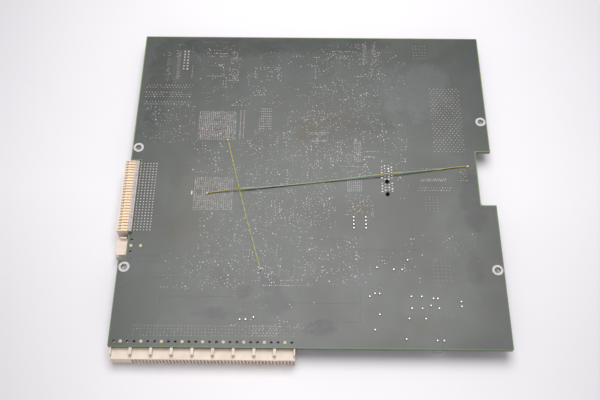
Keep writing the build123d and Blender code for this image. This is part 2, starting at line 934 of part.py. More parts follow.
arrays = [array_package(x, y, array_size) for x, y in array_middles]
save("array_carriers", group(carrier for carrier, _ in arrays))
save("array_caps", group(cap for _, cap in arrays))
small_array = package_body(*small_array_middle, small_array_size, small_array_size, thin_height)
save("small_array_package", small_array)
bodies = [package_body(*one.middle, one.width, one.length, thin_height) for one in moulded_packages]
save("moulded_packages", group(bodies))
feet = [foot for one in moulded_packages for foot in gull_leads(one)]
save("surface_mount_leads", group(feet))
capacitor_spots = [(x, y) for y in capacitor_rows for x in capacitor_columns]
save("chip_capacitors", chips(capacitor_spots, capacitor_size))
resistor_spots = [(resistor_column, y) for y in resistor_rows]
save("chip_resistors", chips(resistor_spots, resistor_size))

save("film_capacitors", group(film_capacitor(leads) for leads in film_leads))
save("electrolytic_capacitors", group(electrolytic_capacitor(leads) for leads in can_leads))
save("disc_capacitors", group(disc_capacitor(leads) for leads in disc_leads))
save("filter_bead", filter_bead())
save("test_posts", test_posts())
save("voltage_reference", voltage_reference())
save("choke_core", choke_core())
save("choke_windings", choke_windings())
save("choke_carrier", choke_carrier())
save("power_transistors", group(power_transistor(place) for place in transistor_places))
save("transistor_tabs", group(transistor_tab(place) for place in transistor_places))
save("shield_can", shield_can())
save("power_joints", group(solder_joint(x, y) for x, y in power_joint_spots()))

save("repair_wire_long", wire("long wire", long_route))
save("repair_wire_short", wire("short wire", short_route))
save("repair_wire_joints", wire_joints())
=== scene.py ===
# %% [markdown]
# # A filter board, lying solder side up
# The object is a big plug-in circuit board from a telecom card cage. It lies on the connectors of
# its component side, so what shows is the solder side: grey-green mask, thousands of small plated
# holes, cream connectors along two edges, and two repair wires that somebody soldered on by hand.
# All of it could be modelled in Blender, but exact sizes are easier to keep in solids. So the solid
# model comes ready made, and these cells give it finishes and add what is too fine for it. Places
# are written in millimetres from the board's near left corner, as on a drawing of a board, and
# `spot` turns them into Blender's metres.

# %% The solid model
import bpy
import math
import random
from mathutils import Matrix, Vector


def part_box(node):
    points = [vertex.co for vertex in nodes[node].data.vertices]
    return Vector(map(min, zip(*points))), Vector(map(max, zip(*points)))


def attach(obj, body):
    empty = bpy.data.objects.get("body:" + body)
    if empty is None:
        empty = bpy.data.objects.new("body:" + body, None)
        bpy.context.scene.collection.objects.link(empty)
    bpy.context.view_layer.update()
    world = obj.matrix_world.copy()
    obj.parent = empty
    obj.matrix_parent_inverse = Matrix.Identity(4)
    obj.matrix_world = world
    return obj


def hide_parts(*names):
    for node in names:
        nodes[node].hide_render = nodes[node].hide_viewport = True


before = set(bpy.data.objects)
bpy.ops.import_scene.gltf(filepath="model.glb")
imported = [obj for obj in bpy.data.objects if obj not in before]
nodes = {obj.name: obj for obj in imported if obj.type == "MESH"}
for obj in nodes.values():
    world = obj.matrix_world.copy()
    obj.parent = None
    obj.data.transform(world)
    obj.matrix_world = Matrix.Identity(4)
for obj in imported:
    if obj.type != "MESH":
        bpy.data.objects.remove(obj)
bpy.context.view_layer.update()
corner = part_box("circuit_board")[0]
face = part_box("signal_tails")[0].z
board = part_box("circuit_board")[1] - corner
board_size = [round(size * 1000, 1) for size in board]
print("board", board_size, "mm, solder side at", round(face * 1000, 2), "mm")


def spot(x, y, rise=0.0):
    """A place in millimetres from the board's near left corner, and above its solder side."""
    return Vector((corner.x + x / 1000, corner.y + y / 1000, face + rise / 1000))


# %% [markdown]
# ## Where it is seen from
# The board is looked at from above and in front, about 62 degrees up. A camera can be aimed by hand
# in the viewport or made to track an object. Plain numbers are used here, because the view then
# comes out the same each time, and a long lens keeps the board's edges nearly parallel.

# %% Camera
stage = bpy.context.scene
stage.view_settings.view_transform = "Standard"
lens = bpy.data.cameras.new("camera")
lens.sensor_width = 36.0
lens.lens = 46.95
camera = bpy.data.objects.new("camera", lens)
camera.location = (-0.00379, -0.24718, 0.45401)
camera.rotation_euler = (0.4855, -0.001, 0.0094)
stage.collection.objects.link(camera)
stage.camera = camera
print("camera", round(camera.location.length, 3), "m away, lens", round(lens.lens, 2), "mm")


# %% [markdown]
# ## Light
# The board lies in a white room under a wide round soft box. The mask is a little glossy, so the
# light's reflection makes the middle of the board paler than its far edge and its sides. A picture
# of a studio wrapped round the scene could light it too, but an area light can be moved until its
# reflection falls where it should. A weak second one in front opens the shadows there.

# %% Soft boxes and white room
def soft_box(place, aim, width, depth, power, colour):
    """A round soft box that shines from its place towards another."""
    light = bpy.data.lights.new("soft_box", "AREA")
    light.shape = "ELLIPSE"
    light.size = width
    light.size_y = depth
    light.energy = power
    light.color = colour
    holder = bpy.data.objects.new("soft_box", light)
    holder.location = place
    holder.rotation_euler = (Vector(aim) - Vector(place)).to_track_quat("-Z", "Y").to_euler()
    stage.collection.objects.link(holder)
    print("soft box", width, "x", depth, "m,", power, "W")


soft_box(
    place=(0.03, 0.3, 0.9), aim=(0.03, 0.3, 0.0), width=0.72, depth=0.84, power=8.8,
    colour=(1.0, 0.99, 0.985),
)
soft_box(
    place=(0.0, -0.9, 0.45), aim=(0.0, 0.0, 0.0), width=0.8, depth=0.5, power=0.95,
    colour=(1.0, 0.98, 0.96),
)

world = bpy.data.worlds.new("white_room")
world.use_nodes = True
room = world.node_tree.nodes["Background"]
room.inputs["Color"].default_value = (0.965, 0.935, 0.965, 1)
room.inputs["Strength"].default_value = 0.45
stage.world = world


# %% [markdown]
# ## Writing shader maths as Python
# A material is a net of nodes. It can be drawn by hand in the shader editor, but long formulas are
# hard to read as boxes and wires. The class below wraps one output of a node. Adding, taking away
# or multiplying two of them adds the Math node, so a mask can be written as `1 - mask`.

# %% A number that varies over the surface
class Value:
    """One number that varies over the surface, with the arithmetic that the finishes use."""

    def __init__(self, finish, socket):
        self.finish = finish
        self.socket = socket

    def math(self, operation, *others):
        """The Math node of an operation, with this value as its first input."""
        made = self.finish.node("ShaderNodeMath", {"operation": operation}, (self, *others))
        return Value(self.finish, made.outputs[0])

    def __add__(self, other):
        return self.math("ADD", other)

    __radd__ = __add__

    def __mul__(self, other):
        return self.math("MULTIPLY", other)

    __rmul__ = __mul__

    def __sub__(self, other):
        return self.math("SUBTRACT", other)

    def __rsub__(self, other):
        return self.math("MULTIPLY_ADD", -1.0, other)

    def least(self, other):
        """The smaller of the two."""
        return self.math("MINIMUM", other)

    def most(self, other):
        """The larger of the two."""
        return self.math("MAXIMUM", other)

    def above(self, edge, blur):
        """0 below an edge and 1 above it, with a soft step as wide as the blur."""
        step = {"interpolation_type": "SMOOTHSTEP"}
        ends = (self, edge - blur / 2, edge + blur / 2)
        made = self.finish.node("ShaderNodeMapRange", step, ends)
        return Value(self.finish, made.outputs["Result"])


print("a value knows", ", ".join(word for word in vars(Value) if word[0] != "_"))


# %% [markdown]
# ## A material in the making
# Clouds of noise, a blend of two colours and a little relief come back in nearly every finish. They
# could be copied from material to material. Here each is a method of one class, so that a finish
# reads as a few lines, and every node comes from one of them, `node`. All patterns read Object
# coordinates: they keep their size in metres and lie still on a piece, with no unwrapping.

# %% The finish class
class Finish:
    """A material being made: its nodes, its shader, and where each point lies on the object."""

    def __init__(self, name, **fixed):
        self.material = bpy.data.materials.new(name)
        self.material.use_nodes = True
        self.tree = self.material.node_tree
        self.shader = self.tree.nodes["Principled BSDF"]
        for word, value in fixed.items():
            self.shader.inputs[word.replace("_", " ")].default_value = value
        self.place = self.node("ShaderNodeTexCoord").outputs["Object"]

    def node(self, kind, settings=None, values=()):
        """Any node: its settings first, then its inputs, by order or by name."""
        made = self.tree.nodes.new(kind)
        for word, setting in (settings or {}).items():
            setattr(made, word, setting)
        pairs = values.items() if isinstance(values, dict) else enumerate(values)
        for key, value in pairs:
            self.plug(made.inputs[key], value)
        return made

    def plug(self, socket, value):
        """A link, or a plain number or colour."""
        if isinstance(value, Value):
            value = value.socket
        if isinstance(value, bpy.types.NodeSocket):
            self.tree.links.new(value, socket)
        else:
            socket.default_value = value

    def axis(self, index):
        """One of the point's three coordinates, in metres."""
        made = self.node("ShaderNodeSeparateXYZ", None, (self.place,))
        return Value(self, made.outputs[index])

    def noise(self, size, detail=3.0, rough=0.55, stretch=(1, 1, 1)):
        """Cloudy noise whose blotches are about `size` millimetres across."""
        scaled = self.node("ShaderNodeMapping", None, {"Vector": self.place, "Scale": stretch})
        inputs = {
            "Vector": scaled.outputs[0], "Scale": 1000 / size, "Detail": detail,
            "Roughness": rough,
        }
        return Value(self, self.node("ShaderNodeTexNoise", None, inputs).outputs["Fac"])

    def blend(self, amount, first, second):
        """Colour that goes from the first to the second with the amount."""
        kind = {"data_type": "RGBA"}
        made = self.node("ShaderNodeMix", kind, {0: amount, 6: first, 7: second})
        return made.outputs[2]

    def bump(self, height, depth):
        """Relief, in millimetres at most, on the shader's normal."""
        inputs = {"Height": height, "Distance": depth / 1000, "Strength": 1.0}
        made = self.node("ShaderNodeBump", None, inputs)
        self.plug(self.shader.inputs["Normal"], made.outputs[0])

    def done(self, colour, roughness):
        """Plug in what varies and hand the material over."""
        self.plug(self.shader.inputs["Base Color"], colour)
        self.plug(self.shader.inputs["Roughness"], roughness)
        return self.material


print("a finish knows", ", ".join(word for word in vars(Finish) if word[0] != "_"))


# %% [markdown]
# ## How far a point is from the edge
# The lacquer on a board stops half a millimetre short of every edge. That rim could be a thin strip
# of mesh, or painted on a map. Here the shader works it out: the distance to the outline, and to
# the notches that are cut into it, comes from a point's own coordinates. The rim then follows the
# whole edge, and its width is one number.

# %% Distance from the edge
# The near left and the far right corner of each notch: two on the left edge, one on the right.
notches = (
    (spot(-9, 55.2), spot(4.3, 72.7)),
    (spot(-9, 72.65), spot(6.7, 125.95)),
    (spot(226.5, 94.8), spot(260, 134.5)),
)
for low, high in notches:
    print("notch", round((high.y - low.y) * 1000, 2), "mm long")


def outline_distance(finish):
    """Distance in metres from the nearest edge of the board, the notches counted as edges."""
    x = finish.axis(0)
    y = finish.axis(1)
    far = corner + board
    distance = (x - corner.x).least(far.x - x).least(y - corner.y).least(far.y - y)
    for low, high in notches:
        beside = (low.x - x).most(x - high.x)
        before = (low.y - y).most(y - high.y)
        distance = distance.least(beside.most(before))
    return distance


# %% [markdown]
# ## Smudges, and painted shade along the edges
# Flux, cleaning and hands leave dark, pale and brown patches on a solder side. They could be
# painted on an image by hand. Here each is one row: its place, its two half widths in millimetres
# and its strength, which is easy to read and to change. Noise tears their outlines, so that none
# looks like an ellipse, and a finer noise smears them. The last four dark rows are not smudges but
# painted shade: they darken the mask along the right, far and left edges of the board.

# %% Smudges and painted edge shade
# Dark smudges; the last four rows are painted shade along the right, far and left edges.
dark_smudges_and_edge_shade = (
    (94.2, 40.0, 7, 5, 0.5), (98.3, 27.4, 9, 7, 0.4), (78.2, 34.5, 5, 4, 0.5),
    (59.9, 21.0, 11, 4, 0.5), (123.6, 12.7, 9, 5, 0.5), (41.6, 82.0, 8, 9, 0.35),
    (158.7, 155.4, 14, 7, 0.3), (218.6, 49.3, 5, 9, 0.3), (222.5, 100.0, 8, 22, 0.45),
    (60.0, 221.0, 32, 9, 0.45), (13.0, 185.0, 8, 38, 0.35), (128.0, 223.0, 42, 8, 0.35),
)
pale_blots = ((190.0, 183.0, 24, 22, 0.8),)
brown_blots = (
    (35.7, 75.7, 9, 9, 0.35), (115.8, 149.9, 8, 9, 0.6), (132.2, 159.2, 16, 5, 0.35),
    (148.7, 92.8, 10, 5, 0.5), (186.5, 15.9, 9, 6, 0.4), (44.0, 96.0, 14, 30, 0.3),
)
smudges_and_edge_shade = (
    (dark_smudges_and_edge_shade, (0.03, 0.034, 0.032, 1)),
    (pale_blots, (0.09, 0.1, 0.096, 1)),
    (brown_blots, (0.07, 0.062, 0.04, 1)),
)
print(sum(len(blots) for blots, _ in smudges_and_edge_shade), "smudges_and_edge_shade")


def blot(finish, ragged, x, y, wide, deep):
    """1 inside a ragged patch about a place on the board, 0 outside it; in millimetres."""
    middle = spot(x, y)
    across = (finish.axis(0) - middle.x) * (1000 / wide)
    along = (finish.axis(1) - middle.y) * (1000 / deep)
    return 1 - (across * across + along * along + ragged).above(1.0, 1.1)


def smudged_and_edge_shaded(finish, colour):
    """The colour with every smudge, and the painted shade along the edges, laid over it."""
    ragged = (finish.noise(8, 4.0, 0.65) - 0.5) * 3.6
    smear = finish.noise(3.5, 3.0, 0.6, (0.6, 1, 1)).above(0.48, 0.3) * 0.55 + 0.9
    for blots, paint in smudges_and_edge_shade:
        for x, y, wide, deep, amount in blots:
            patch = blot(finish, ragged, x, y, wide, deep) * smear * amount
            colour = finish.blend(patch, colour, paint)
    return colour


# %% [markdown]
# ## The rim and the cut wall
# Along the rim bare yellow-green laminate shows. The cut wall shows the plies of glass cloth that
# it is pressed from, and is painted darker than the rim, as painted shade, since it is not lit.
# Along the front, rim and wall are painted darker still: painted shade. The plies could be stacked
# sheets of mesh. Noise that is stretched thirty times along the board gives the same lines for one
# node, and the height of a point says whether it lies on the rim or on the wall.

# %% Rim and wall
# In metres, as the distances are.
rim_width = 0.0006
rim_blur = 0.0002
wall_top = 0.0002


def edge_colour(finish):
    """Bare laminate on the rim, plies on the cut wall painted darker as shade, painted shade on
    both along the front.
    """
    # Painted shade: near is 1 along the front, where rim and wall are painted darker.
    near = 1 - finish.axis(1).above(0.0, 0.2)
    rim = finish.blend(finish.noise(0.5), (0.13, 0.2, 0.07, 1), (0.2, 0.3, 0.1, 1))
    height = finish.axis(2)
    depth = (face - height).least(height - corner.z)
    plies = finish.noise(0.3, 2.0, 0.5, (0.03, 0.03, 1)).above(0.5, 0.2)
    # Painted shade: the cut wall is given a darker colour than the rim, since it is not lit.
    wall = finish.blend(plies, (0.095, 0.11, 0.055, 1), (0.17, 0.18, 0.1, 1))
    edge = finish.blend(depth.above(wall_top, wall_top / 2), rim, wall)
    # Along the front, painted shade blends rim and wall to a darker green.
    return finish.blend(near, edge, (0.08, 0.13, 0.06, 1))


print("rim", rim_width * 1000, "mm wide")


# %% [markdown]
# ## Solder mask over laminate
# The mask is a thin grey-green lacquer over copper, and a shade paler where copper lies under it.
# Real copper areas could be drawn, but they hardly show, so a large soft noise stands for them.
# Two more give brownish flux and bluish wiped patches, a fine speckle keeps it from looking like
# paint, and two crossed noises give the weave of the glass cloth as a slight relief. The index of
# refraction is a little lower than a glossy lacquer's, because this one reflects more faintly.

# %% Solder mask
plain_mask = (0.055, 0.064, 0.057, 1)
mask_on_copper = (0.067, 0.076, 0.069, 1)
wiped_mask = (0.074, 0.084, 0.084, 1)
fluxed_mask = (0.06, 0.056, 0.042, 1)
pale_specks = (0.09, 0.1, 0.094, 1)


def mask_finish():
    """Lacquer over copper and laminate, with smudges, painted edge shade, bare rim and cut wall."""
    finish = Finish("solder_mask", IOR=1.43)
    copper = finish.noise(26, 2.0).above(0.5, 0.1)
    stain = finish.noise(46, 3.0, 0.5).above(0.56, 0.3)
    wiped = finish.noise(50, 2.0).above(0.52, 0.3)
    speckle = finish.noise(0.7, 2.0)
    weave = finish.noise(1.6, 1.0, 0.5, (1, 6, 1)) + finish.noise(1.6, 1.0, 0.5, (6, 1, 1))
    colour = finish.blend(copper, plain_mask, mask_on_copper)
    colour = finish.blend(wiped * 0.5, colour, wiped_mask)
    colour = finish.blend(stain * 0.4, colour, fluxed_mask)
    colour = finish.blend(speckle.above(0.5, 0.5) * 0.35, colour, pale_specks)
    # Smudges, and painted shade along the right, far and left edges.
    colour = smudged_and_edge_shaded(finish, colour)
    margin = 1 - outline_distance(finish).above(rim_width, rim_blur)
    colour = finish.blend(margin, colour, edge_colour(finish))
    finish.bump(weave * 0.4 + speckle * 0.6, 0.012)
    return finish.done(colour, 0.25 + stain * 0.08 + speckle * 0.06)


def dress(material, *names):
    """Give solid nodes a material in place of the plain one."""
    for name in names:
        for slot in nodes[name].material_slots:
            slot.material = material
    print(material.name, "on", ", ".join(names))


dress(mask_finish(), "circuit_board")


# %% [markdown]
# ## Moulded plastics
# The parts on the board are moulded: black packages and headers, pale wafers, dipped capacitors.
# One flat colour each would do from far away, but close up it looks like a toy. So one function
# makes the family: two close shades in soft clouds, and the fine grain that a spark-eroded mould
# leaves. A part differs from the next by its colours, its roughness and its index of refraction.

# %% Plastics
def moulded(name, pale, deep, rough, gloss=1.48):
    """Dull plastic: two close shades in soft clouds, with a fine spark-eroded grain."""
    finish = Finish(name, IOR=gloss)
    clouds = finish.noise(5, 3.0)
    grain = finish.noise(0.35, 2.0)
    colour = finish.blend(clouds.above(0.5, 0.5), deep, pale)
    finish.bump(grain, 0.015)
    return finish.done(colour, rough + grain * 0.12)


black_parts = (
    "inline_package", "header_shroud", "array_caps", "small_array_package", "moulded_packages",
    "voltage_reference", "power_transistors", "choke_carrier", "chip_resistors",
)
for wearers, name, pale, deep, rough, gloss in (
    (black_parts, "black_moulding", (0.02, 0.02, 0.022, 1), (0.01, 0.01, 0.011, 1), 0.6, 1.3),
    (("stacking_header",), "deep_black_moulding",
     (0.005, 0.005, 0.006, 1), (0.002, 0.002, 0.002, 1), 0.7, 1.12),
    (("signal_wafers",), "wafer_moulding",
     (0.5, 0.42, 0.35, 1), (0.4, 0.33, 0.27, 1), 0.5, 1.48),
    (("array_carriers",), "package_laminate",
     (0.1, 0.2, 0.1, 1), (0.07, 0.15, 0.08, 1), 0.4, 1.48),
    (("film_capacitors",), "film_capacitor_case",
     (0.6, 0.44, 0.1, 1), (0.5, 0.36, 0.08, 1), 0.35, 1.48),
    (("disc_capacitors", "chip_capacitors"), "dipped_ceramic",
     (0.55, 0.34, 0.14, 1), (0.42, 0.25, 0.1, 1), 0.4, 1.48),
    (("choke_core", "filter_bead"), "coated_ferrite",
     (0.06, 0.1, 0.07, 1), (0.04, 0.07, 0.05, 1), 0.4, 1.48),
):
    dress(moulded(name, pale, deep, rough, gloss), *wearers)


# %% [markdown]
# ## Cream connectors
# The two-millimetre connectors are moulded in a cream polymer that is dull and faintly mottled.
# Their pegs come up through the board, and their tips are a darker, yellower cream. The
# tips could be separate pieces with a material of their own. Here one material asks whether a point
# is above the solder side and inside the board's outline, so nothing has to be cut apart.

# %% Cream polymer
def cream_finish():
    """The connectors' cream polymer; the tips of the pegs are darker and yellower."""
    finish = Finish("cream_polymer", IOR=1.48)
    clouds = finish.noise(5, 3.0).above(0.5, 0.5)
    grain = finish.noise(0.35, 2.0)
    colour = finish.blend(clouds, (0.67, 0.575, 0.48, 1), (0.77, 0.67, 0.575, 1))
    inside = outline_distance(finish).above(0.0005, 0.0002)
    tip = finish.axis(2).above(face - 0.0002, 0.0002) * inside
    colour = finish.blend(tip, colour, (0.57, 0.48, 0.31, 1))
    finish.bump(grain, 0.015)
    return finish.done(colour, 0.5 + grain * 0.12)


dress(
    cream_finish(), "front_power_housing", "front_housing_left", "front_housing_right",
    "side_power_housing", "signal_housing",
)


# %% [markdown]
# ## Metals
# Metals differ less in colour than in how rough they are: tin is milky, gold is clear and warm, and
# sheet steel is drawn, with fine lines along its length. Each could have its own net of nodes. One
# function makes the family instead, and its `lines` stretch the scratches along one axis. A fully
# metallic shader turns nearly black where it mirrors something dark, so the metals that are dulled
# by oxide are only partly metallic.

# %% Plated metals
def plated(name, bright, dull, rough, patch, lines, metallic):
    """Plated metal: bright and dull patches, scratched along the stretched axis."""
    finish = Finish(name, Metallic=metallic)
    patches = finish.noise(patch, 3.0)
    scratches = finish.noise(0.4, 2.0, 0.6, lines)
    colour = finish.blend(patches.above(0.5, 0.4), dull, bright)
    finish.bump(scratches, 0.01)
    return finish.done(colour, rough + patches * 0.2 + scratches * 0.1)


tinned_parts = (
    "signal_tails", "header_pin_ends", "inline_leads", "test_posts", "transistor_tabs",
    "surface_mount_leads",
)
gilded_parts = (
    "signal_shield_fingers", "front_power_contacts", "side_power_contacts", "header_pins",
)
for wearers, name, bright, dull, rough, patch, lines, metallic in (
    (tinned_parts, "tin_plate",
     (0.62, 0.6, 0.61, 1), (0.4, 0.38, 0.39, 1), 0.42, 1.2, (1, 1, 1), 0.6),
    (gilded_parts, "gold_plate",
     (0.92, 0.68, 0.4, 1), (0.7, 0.42, 0.2, 1), 0.34, 0.8, (1, 6, 1), 0.7),
    (("signal_stiffener", "shield_can"), "tinned_sheet",
     (0.54, 0.49, 0.48, 1), (0.4, 0.36, 0.355, 1), 0.5, 3.0, (8, 1, 1), 0.25),
    (("mounting_eyelets",), "milky_tin",
     (0.62, 0.59, 0.6, 1), (0.44, 0.41, 0.42, 1), 0.5, 0.9, (1, 1, 1), 0.25),
    (("repair_wire_joints",), "hand_solder",
     (0.52, 0.48, 0.42, 1), (0.36, 0.31, 0.25, 1), 0.4, 1.2, (1, 1, 1), 0.3),
    (("electrolytic_capacitors",), "drawn_can",
     (0.75, 0.76, 0.8, 1), (0.6, 0.61, 0.65, 1), 0.3, 2.0, (1, 1, 8), 1.0),
    (("choke_windings",), "enamelled_copper",
     (0.75, 0.33, 0.16, 1), (0.55, 0.22, 0.1, 1), 0.3, 0.8, (1, 1, 6), 1.0),
):
    dress(plated(name, bright, dull, rough, patch, lines, metallic), *wearers)


# %% [markdown]
# ## Solder joints
# A joint is bright solder that has flowed up a lead, with grey flux round its foot, and some are
# tinged with copper. The grey foot could be a ring of its own, but the height above the board
# already says where it is, so one blend on that height makes it.

# %% Joints of the through-hole parts
def joint_finish():
    """Bright solder, grey with flux round its foot, and here and there tinged with copper."""
    finish = Finish("solder_joint", Metallic=0.3)
    coppery = finish.noise(14, 1.0).above(0.52, 0.1)
    colour = finish.blend(coppery, (0.95, 0.92, 0.92, 1), (0.92, 0.76, 0.67, 1))
    raised = finish.axis(2).above(face + 0.0006, 0.0006)
    colour = finish.blend(raised, (0.22, 0.21, 0.2, 1), colour)
    finish.bump(finish.noise(0.6, 2.0), 0.02)
    return finish.done(colour, 0.34)


dress(joint_finish(), "inline_joints", "power_joints")


# %% [markdown]
# ## Stamping small things with Geometry Nodes
# A board like this has some five thousand plated holes. They could be copied by hand, or set out by
# an Array modifier if they were regular. Geometry Nodes take bare points and set one low disc on
# each, and every point carries its own size, so irregular families cost no more than regular ones.
# The tree has named inputs for the disc's radius, height, sides and material.

# %% The stamping tree
def stamp_tree():
    """Discs on points: radius and height are inputs, and each point's `size` scales its disc."""
    tree = bpy.data.node_groups.new("stamp_discs", "GeometryNodeTree")
    for label, kind in (
        ("Geometry", "Geometry"), ("Radius", "Float"), ("Height", "Float"), ("Sides", "Int"),
        ("Material", "Material"),
    ):
        tree.interface.new_socket(label, in_out="INPUT", socket_type="NodeSocket" + kind)
    tree.interface.new_socket("Geometry", in_out="OUTPUT", socket_type="NodeSocketGeometry")
    given = tree.nodes.new("NodeGroupInput")
    disc = tree.nodes.new("GeometryNodeMeshCylinder")
    disc.fill_type = "TRIANGLE_FAN"
    size = tree.nodes.new("GeometryNodeInputNamedAttribute")
    size.inputs["Name"].default_value = "size"
    stamp = tree.nodes.new("GeometryNodeInstanceOnPoints")
    real = tree.nodes.new("GeometryNodeRealizeInstances")
    paint = tree.nodes.new("GeometryNodeSetMaterial")
    result = tree.nodes.new("NodeGroupOutput")
    for source, target in (
        (given.outputs["Sides"], disc.inputs["Vertices"]),
        (given.outputs["Radius"], disc.inputs["Radius"]),
        (given.outputs["Height"], disc.inputs["Depth"]),
        (given.outputs["Geometry"], stamp.inputs["Points"]),
        (disc.outputs["Mesh"], stamp.inputs["Instance"]),
        (size.outputs["Attribute"], stamp.inputs["Scale"]),
        (stamp.outputs["Instances"], real.inputs["Geometry"]),
        (real.outputs["Geometry"], paint.inputs["Geometry"]),
        (given.outputs["Material"], paint.inputs["Material"]),
        (paint.outputs["Geometry"], result.inputs["Geometry"]),
    ):
        tree.links.new(source, target)
    return tree


discs = stamp_tree()
disc_inputs = {
    item.name: item.identifier for item in discs.interface.items_tree if item.in_out == "INPUT"
}
print("stamping tree with inputs", ", ".join(disc_inputs))


# %% [markdown]
# ## From points to a plain mesh
# The tree runs as a modifier on an object that has only points. It could stay there, but other
# programs know nothing of modifiers, and what they don't know they leave out. So the evaluated
# result is copied into a plain mesh, and the modifier goes.

# %% Running the tree
def stamped(name, points, radius, height, sides, material, slot, drop=0.0):
    """One piece: a low disc on each point (x, y and size); radius and height in millimetres."""
    mesh = bpy.data.meshes.new(name)
    mesh.from_pydata([spot(x, y, height / 2 - drop) for x, y, _ in points], [], [])
    sizes = mesh.attributes.new("size", "FLOAT", "POINT")
    sizes.data.foreach_set("value", [size for _, _, size in points])
    holder = bpy.data.objects.new(name, mesh)
    stage.collection.objects.link(holder)
    modifier = holder.modifiers.new(discs.name, "NODES")
    modifier.node_group = discs
    modifier[disc_inputs["Radius"]] = radius / 1000
    modifier[disc_inputs["Height"]] = height / 1000
    modifier[disc_inputs["Sides"]] = sides
    modifier[disc_inputs["Material"]] = material
    graph = bpy.context.evaluated_depsgraph_get()
    plain = bpy.data.meshes.new_from_object(holder.evaluated_get(graph))
    holder.modifiers.clear()
    holder.data = plain
    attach(holder, "root")
    print(name, len(points), "discs,", len(plain.polygons), "faces")


# %% [markdown]
# ## Where the plated holes are
# Holes come in families. Under an area-array chip they form a tight square grid, under a connector
# a staggered one, and round a flat chip a ring. Each hole could be typed in, but one line for a
# grid says the same: its near left corner, its columns and rows and their steps. A grid may miss
# some holes and let others wander, as drilled boards do. One random generator with a fixed seed
# draws it all, so the board comes out the same each time.

# %% A grid of holes
chance = random.Random(41)
ball_pitch = 1.27  # millimetres


def grid(x, y, columns, rows, step_x, step_y, shift=0.0, size=1.0, kept=1.0, wander=0.0):
    """Points from a near left corner; every second row is shifted, a share may be missing."""
    points = []
    for row in range(rows):
        for column in range(columns):
            if chance.random() < kept:
                px = x + column * step_x + (row % 2) * shift + chance.uniform(-wander, wander)
                py = y + row * step_y + chance.uniform(-wander, wander)
                points.append((px, py, size * chance.uniform(0.85, 1.15)))
    return points


def without(points, *boxes):
    """Points that lie in none of the boxes."""
    return [p for p in points if not any(a <= p[0] <= c and b <= p[1] <= d for a, b, c, d in boxes)]


array_holes = without(
    grid(43.0, 142.6, 20, 18, ball_pitch, ball_pitch, kept=0.93, wander=0.08)
    + grid(43.2, 143.2, 20, 18, ball_pitch, ball_pitch, size=0.8, kept=0.62, wander=0.12)
    + grid(43.4, 90.0, 20, 19, ball_pitch, ball_pitch, kept=0.93, wander=0.08)
    + grid(43.6, 90.6, 20, 19, ball_pitch, ball_pitch, size=0.8, kept=0.62, wander=0.12),
    (52.5, 158.0, 57.5, 158.9), (52.5, 150.0, 57.5, 150.9),
    (44.6, 101.6, 48.4, 104.4), (55.0, 103.0, 58.0, 105.5),
)
print(len(array_holes), "holes under the two large chips")


# %% [markdown]
# ## Smaller grids and rows
# The smaller chips and the line drivers have fields of their own, most of them plain grids, some
# of them staggered. They could be listed chip by chip. They are sorted by how they look instead,
# because each family below gets one finish: covered or open, faint or strong.

# %% Balls and drivers
ball_holes = (
    grid(141.9, 104.3, 8, 7, ball_pitch, ball_pitch)
    + grid(83.4, 151.2, 7, 9, ball_pitch, 2.0, kept=0.9)
    + grid(70.6, 143.5, 1, 22, 1.0, 1.05)
    + grid(72.9, 143.5, 1, 22, 1.0, 1.05)
    + grid(146.9, 126.6, 4, 13, 1.3, 1.35, kept=0.85, wander=0.15)
    + grid(44.6, 211.8, 12, 2, 1.25, 2.3, kept=0.85, wander=0.15)
    + grid(45.5, 194.4, 11, 1, 1.2, 1.0)
    + grid(61.2, 190.8, 6, 7, 1.15, 1.6, kept=0.6, wander=0.2)
    + grid(62.3, 205.5, 4, 9, 1.2, 1.35, kept=0.5, wander=0.2)
    + grid(53.4, 203.2, 3, 2, 1.2, 1.2)
    + grid(154.9, 207.2, 2, 14, 1.4, 1.35, shift=0.6, kept=0.7, wander=0.2)
    + grid(161.3, 207.2, 2, 14, 1.4, 1.35, shift=0.6, kept=0.7, wander=0.2)
    + grid(24.2, 192.4, 2, 18, 1.2, 1.35, shift=0.5, size=0.9)
    + grid(17.1, 190.4, 2, 19, 1.2, 1.35, shift=0.4, size=0.8, kept=0.8)
    + grid(35.0, 193.2, 1, 9, 1.0, 1.3, size=0.9)
)
driver_holes = (
    grid(4.9, 184.6, 16, 2, 2.0, 1.8, shift=1.0, size=1.15, kept=0.95)
    + grid(4.7, 176.8, 16, 3, 2.0, 1.8, shift=1.0, size=1.2, kept=0.95)
    + grid(4.7, 170.6, 16, 2, 2.0, 1.8, shift=1.0, size=1.15, kept=0.95)
    + grid(183.5, 121.4, 13, 1, 2.0, 1.0, size=0.75)
    + grid(189.5, 112.3, 13, 2, ball_pitch, 1.2, shift=0.6, size=1.2)
    + grid(187.5, 105.2, 12, 2, 1.8, 1.9, shift=0.9, size=1.15)
    + grid(153.3, 134.0, 7, 1, 1.15, 1.0)
    + grid(153.3, 130.0, 7, 1, 1.15, 1.0)
    + grid(137.4, 122.5, 14, 1, 1.3, 1.0, size=0.8)
    + grid(117.2, 147.4, 10, 2, ball_pitch, 1.0, shift=0.6)
    + grid(117.2, 141.4, 10, 2, ball_pitch, 1.0, shift=0.6)
    + grid(89.5, 38.9, 15, 1, ball_pitch, 1.0, size=1.1)
    + grid(103.0, 38.9, 11, 1, 1.5, 1.0, size=0.8)
    + grid(99.4, 42.3, 7, 1, ball_pitch, 1.0)
    + grid(90.4, 46.6, 6, 1, ball_pitch, 1.0, size=0.9)
    + grid(215.4, 112.6, 4, 7, ball_pitch, 1.6, shift=0.5, size=0.9, kept=0.8)
)
print(len(ball_holes), "holes under balls,", len(driver_holes), "at drivers")


# %% [markdown]
# ## Quiet fields, rings and the front
# The shield at the right stands over a wide staggered field. Round the flat chips the holes form
# loose rings, which are made of narrow grids along the four sides, with many holes missing. Along
# the front edge the connectors' contacts end in long faint rows.

